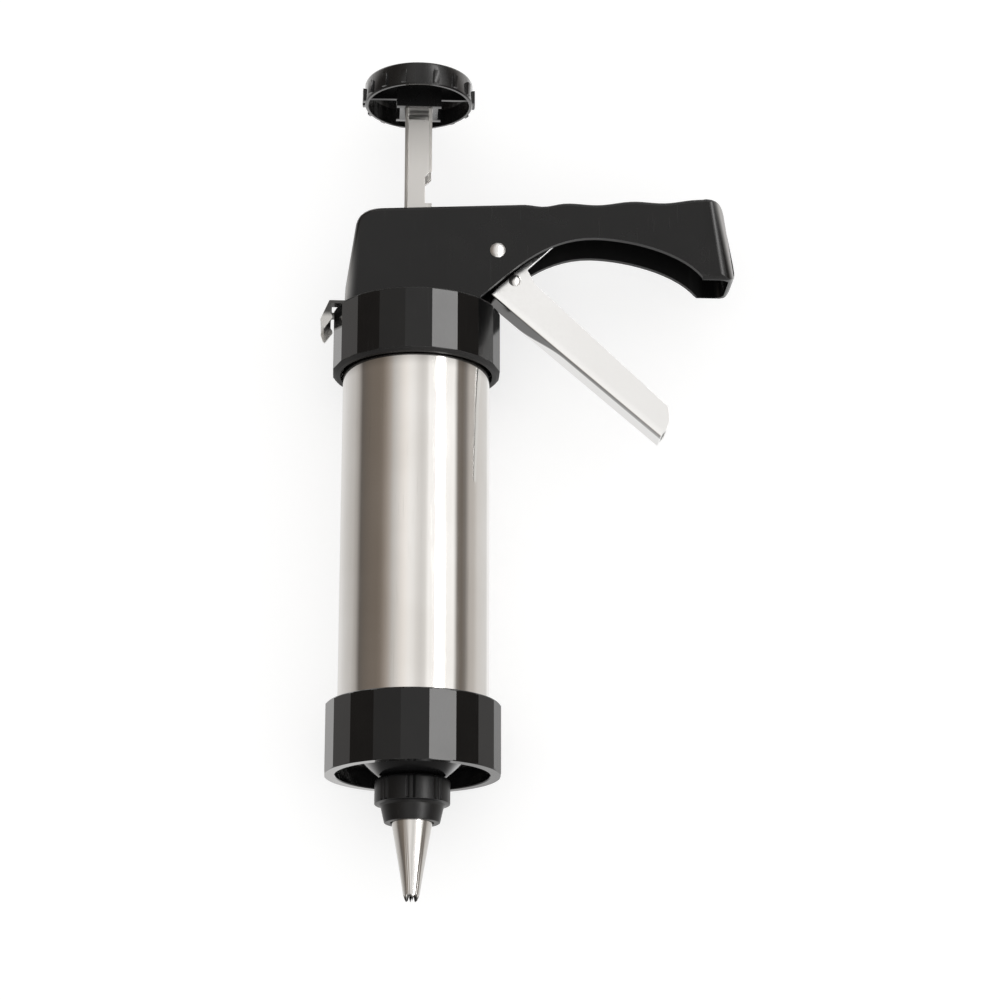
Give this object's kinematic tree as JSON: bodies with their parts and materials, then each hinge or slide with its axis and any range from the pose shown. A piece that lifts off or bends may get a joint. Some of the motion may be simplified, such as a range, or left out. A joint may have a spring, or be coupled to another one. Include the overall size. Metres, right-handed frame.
{
  "type": "pastry syringe",
  "caption": "Squeeze-lever pastry syringe with tube barrel, screw collars, star nozzle, ratchet rod and end knob.",
  "frame": {"origin": "on the barrel axis, in the plane of the lower collar's rim", "axes": "+X towards the handle, +Y along the barrel axis towards the knob, +Z out of the handle's side, away from the surface the part lies on; the nozzle points to -Y"},
  "size_m": [0.1426, 0.2888, 0.0576],
  "materials": {
    "black_plastic": "moulded black plastic with a low sheen",
    "dark_gloss_plastic": "dark polished plastic",
    "grey_plastic": "moulded grey food-safe plastic",
    "barrel_aluminium": "polished anodised tube",
    "rod_aluminium": "satin extruded channel",
    "lever_aluminium": "satin bent sheet",
    "rivet_aluminium": "bright round rivet heads",
    "tinned_steel": "bright tinned sheet",
    "zinc_steel": "zinc plated sheet",
    "steel": "turned steel",
    "dark_steel": "dark oxide finished sheet",
    "spring_steel": "spring wire",
    "seal_rubber": "soft food-safe seal",
    "brass": "turned brass"
  },
  "bodies": {
    "frame": {"housing": "black_plastic", "base_plate": "black_plastic", "base_screws": "steel", "pivot_rivet": "rivet_aluminium", "latch_pin": "steel", "latch_spring": "spring_steel", "return_spring": "spring_steel"},
    "upper_collar": {"upper_collar": "black_plastic"},
    "barrel": {"barrel": "barrel_aluminium"},
    "adapter": {"nozzle_adapter": "dark_gloss_plastic"},
    "lower_collar": {"lower_collar": "black_plastic"},
    "nozzle": {"nozzle": "tinned_steel"},
    "coupler_nut": {"coupler_nut": "black_plastic"},
    "trigger": {"trigger_lever": "lever_aluminium", "lever_rivet": "rivet_aluminium", "drive_arms": "dark_steel", "drive_pin": "steel", "pivot_bush": "brass"},
    "yoke": {"drive_yoke": "zinc_steel", "pawl_pin": "steel", "pawl_spring": "spring_steel"},
    "pawl": {"drive_pawl": "zinc_steel"},
    "plunger": {"plunger_rod": "rod_aluminium", "rod_foot": "black_plastic", "piston_disc": "grey_plastic", "piston_seal": "seal_rubber", "piston_screw": "steel", "knob": "black_plastic"},
    "latch": {"release_latch": "zinc_steel"}
  },
  "joints": [
    {"name": "trigger_squeeze", "type": "hinge", "parent": "frame", "child": "trigger", "pos_m": [0.02733, 0.18141, 0], "axis": [0, 0, 1], "range_deg": [0, 34], "stiffness_Nm_per_rad": 0.4, "springref_deg": -28.65, "deforming": ["return_spring"]},
    {"name": "yoke_slide", "type": "slide", "parent": "frame", "child": "yoke", "axis": [0, -1, 0], "range_m": [0, 0.0112]},
    {"name": "pawl_tilt", "type": "hinge", "parent": "yoke", "child": "pawl", "pos_m": [0.0082, 0.19, 0], "axis": [0, 0, -1], "range_deg": [0, 11.1], "deforming": ["pawl_spring"]},
    {"name": "plunger_slide", "type": "slide", "parent": "yoke", "child": "plunger", "axis": [0, 1, 0], "range_m": [-0.022, 0.088]},
    {"name": "release_latch_tilt", "type": "hinge", "parent": "frame", "child": "latch", "pos_m": [-0.0195, 0.1649, 0], "axis": [0, 0, 1], "range_deg": [0, 5], "stiffness_Nm_per_rad": 0.3, "springref_deg": -5.16, "deforming": ["latch_spring"]},
    {"name": "upper_collar_turn", "type": "hinge", "parent": "frame", "child": "upper_collar", "pos_m": [0, 0.15, 0], "axis": [0, 1, 0], "range_deg": [0, 1080]},
    {"name": "barrel_slide", "type": "slide", "parent": "frame", "child": "barrel", "axis": [0, -1, 0], "range_m": [0, 0.0119]},
    {"name": "adapter_slide", "type": "slide", "parent": "barrel", "child": "adapter", "axis": [0, -1, 0], "range_m": [0, 0.0112]},
    {"name": "lower_collar_turn", "type": "hinge", "parent": "adapter", "child": "lower_collar", "pos_m": [0, 0.012, 0], "axis": [0, -1, 0], "range_deg": [0, 810]},
    {"name": "nozzle_slide", "type": "slide", "parent": "adapter", "child": "nozzle", "axis": [0, -1, 0], "range_m": [0, 0.0087]},
    {"name": "coupler_turn", "type": "hinge", "parent": "nozzle", "child": "coupler_nut", "pos_m": [0, -0.006, 0], "axis": [0, -1, 0], "range_deg": [0, 900]}
  ],
  "couplings": [
    {"joint": "yoke_slide", "follows": "trigger_squeeze", "m_per_rad": 0.01848},
    {"joint": "pawl_tilt", "follows": "trigger_squeeze", "ratio": 0.32353},
    {"joint": "upper_collar_turn", "follows": "barrel_slide", "rad_per_m": 1570.8},
    {"joint": "lower_collar_turn", "follows": "adapter_slide", "rad_per_m": 1256.6},
    {"joint": "coupler_turn", "follows": "nozzle_slide", "rad_per_m": 1795.2}
  ]
}
